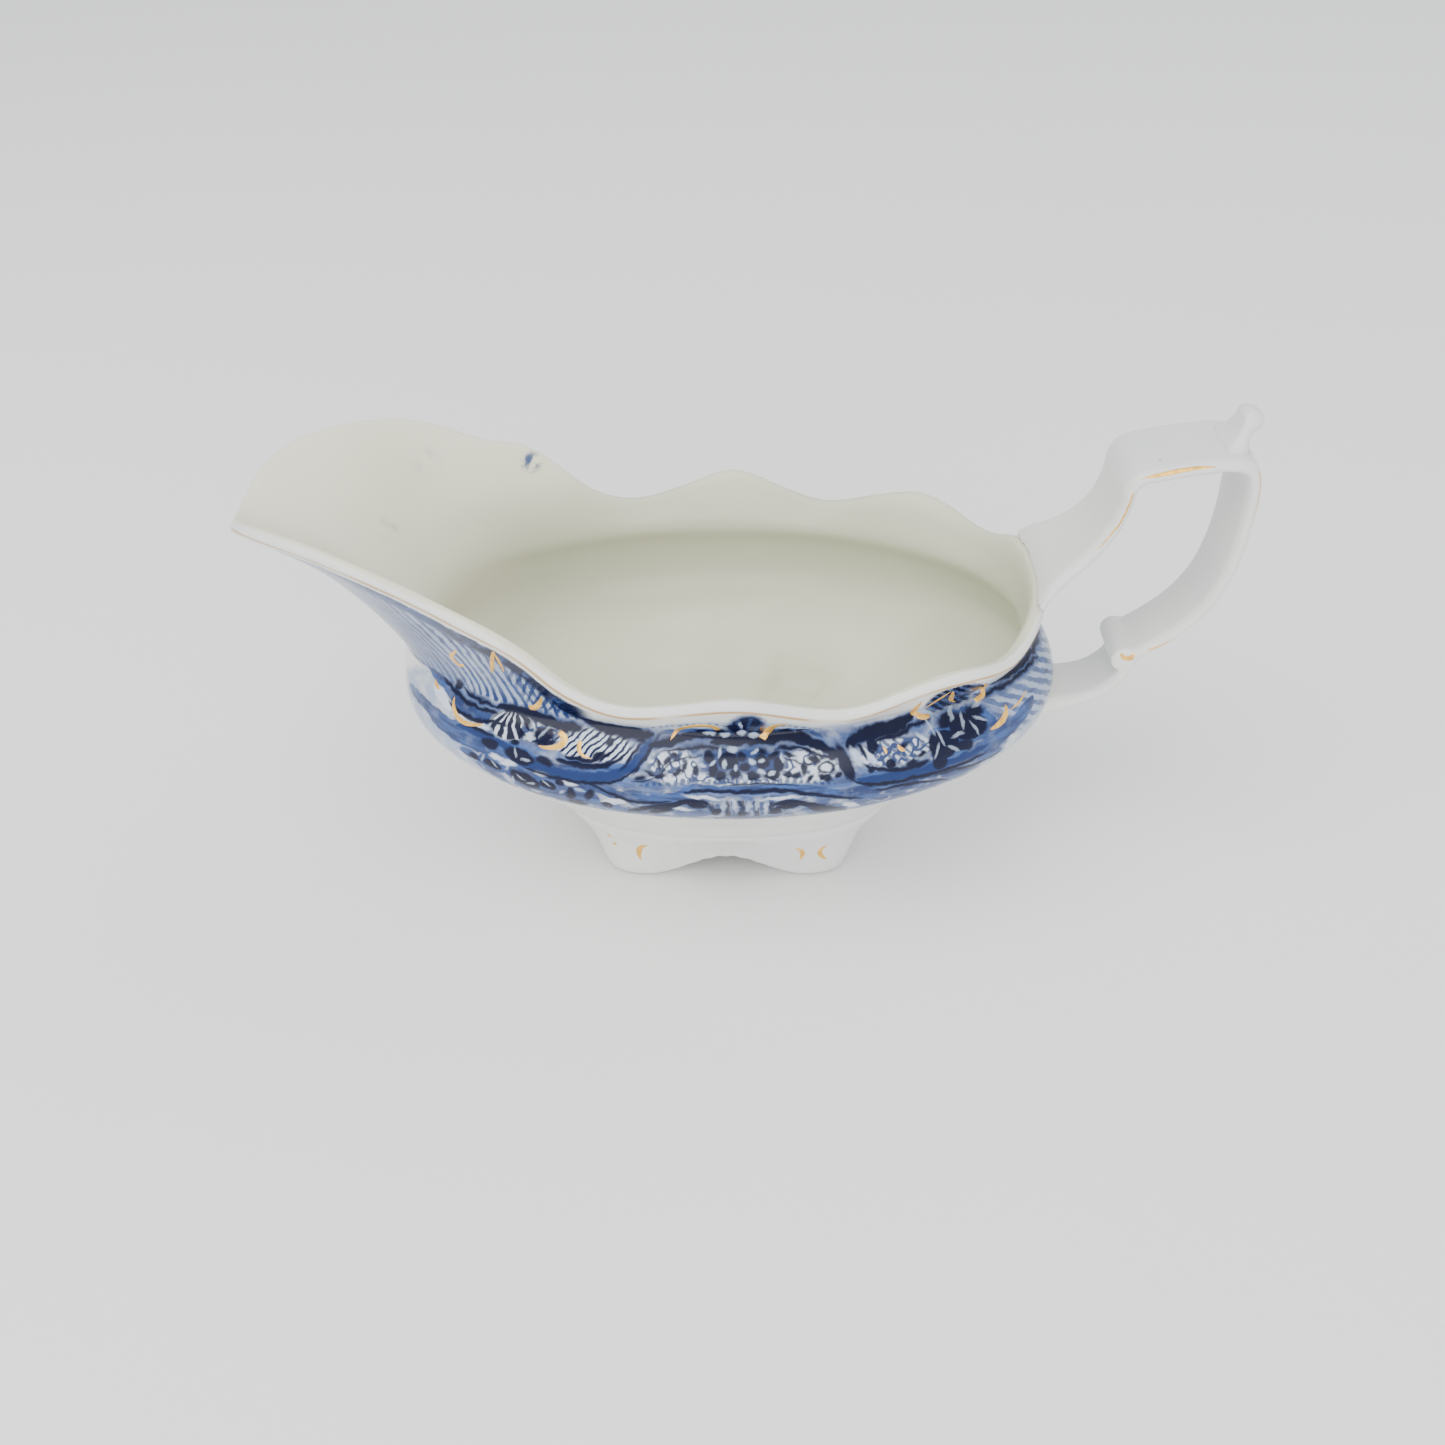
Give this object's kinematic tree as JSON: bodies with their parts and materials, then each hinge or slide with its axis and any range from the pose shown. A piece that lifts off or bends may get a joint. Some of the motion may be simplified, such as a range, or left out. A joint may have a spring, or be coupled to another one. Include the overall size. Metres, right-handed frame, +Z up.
{
  "type": "porcelain cream jug",
  "caption": "Sauce-boat-shaped porcelain cream jug with a lobed rim, a broad pouring lip, a toed foot, a strap handle and a thumb rest.",
  "frame": {"origin": "on the surface that the jug stands on, under the middle of its outline", "axes": "+X from the pouring lip towards the handle, +Y across the jug, +Z up"},
  "size_m": [0.2033, 0.094, 0.1026],
  "materials": {
    "decorated_glaze": "clear glossy glaze over white porcelain, painted in cobalt blue",
    "plain_glaze": "clear glossy glaze over white porcelain",
    "gilding": "thin fired gold, worn along the edges"
  },
  "bodies": {
    "root": {"body": "decorated_glaze", "foot": "plain_glaze", "handle": "plain_glaze", "thumb_rest": "plain_glaze"}
  },
  "joints": []
}
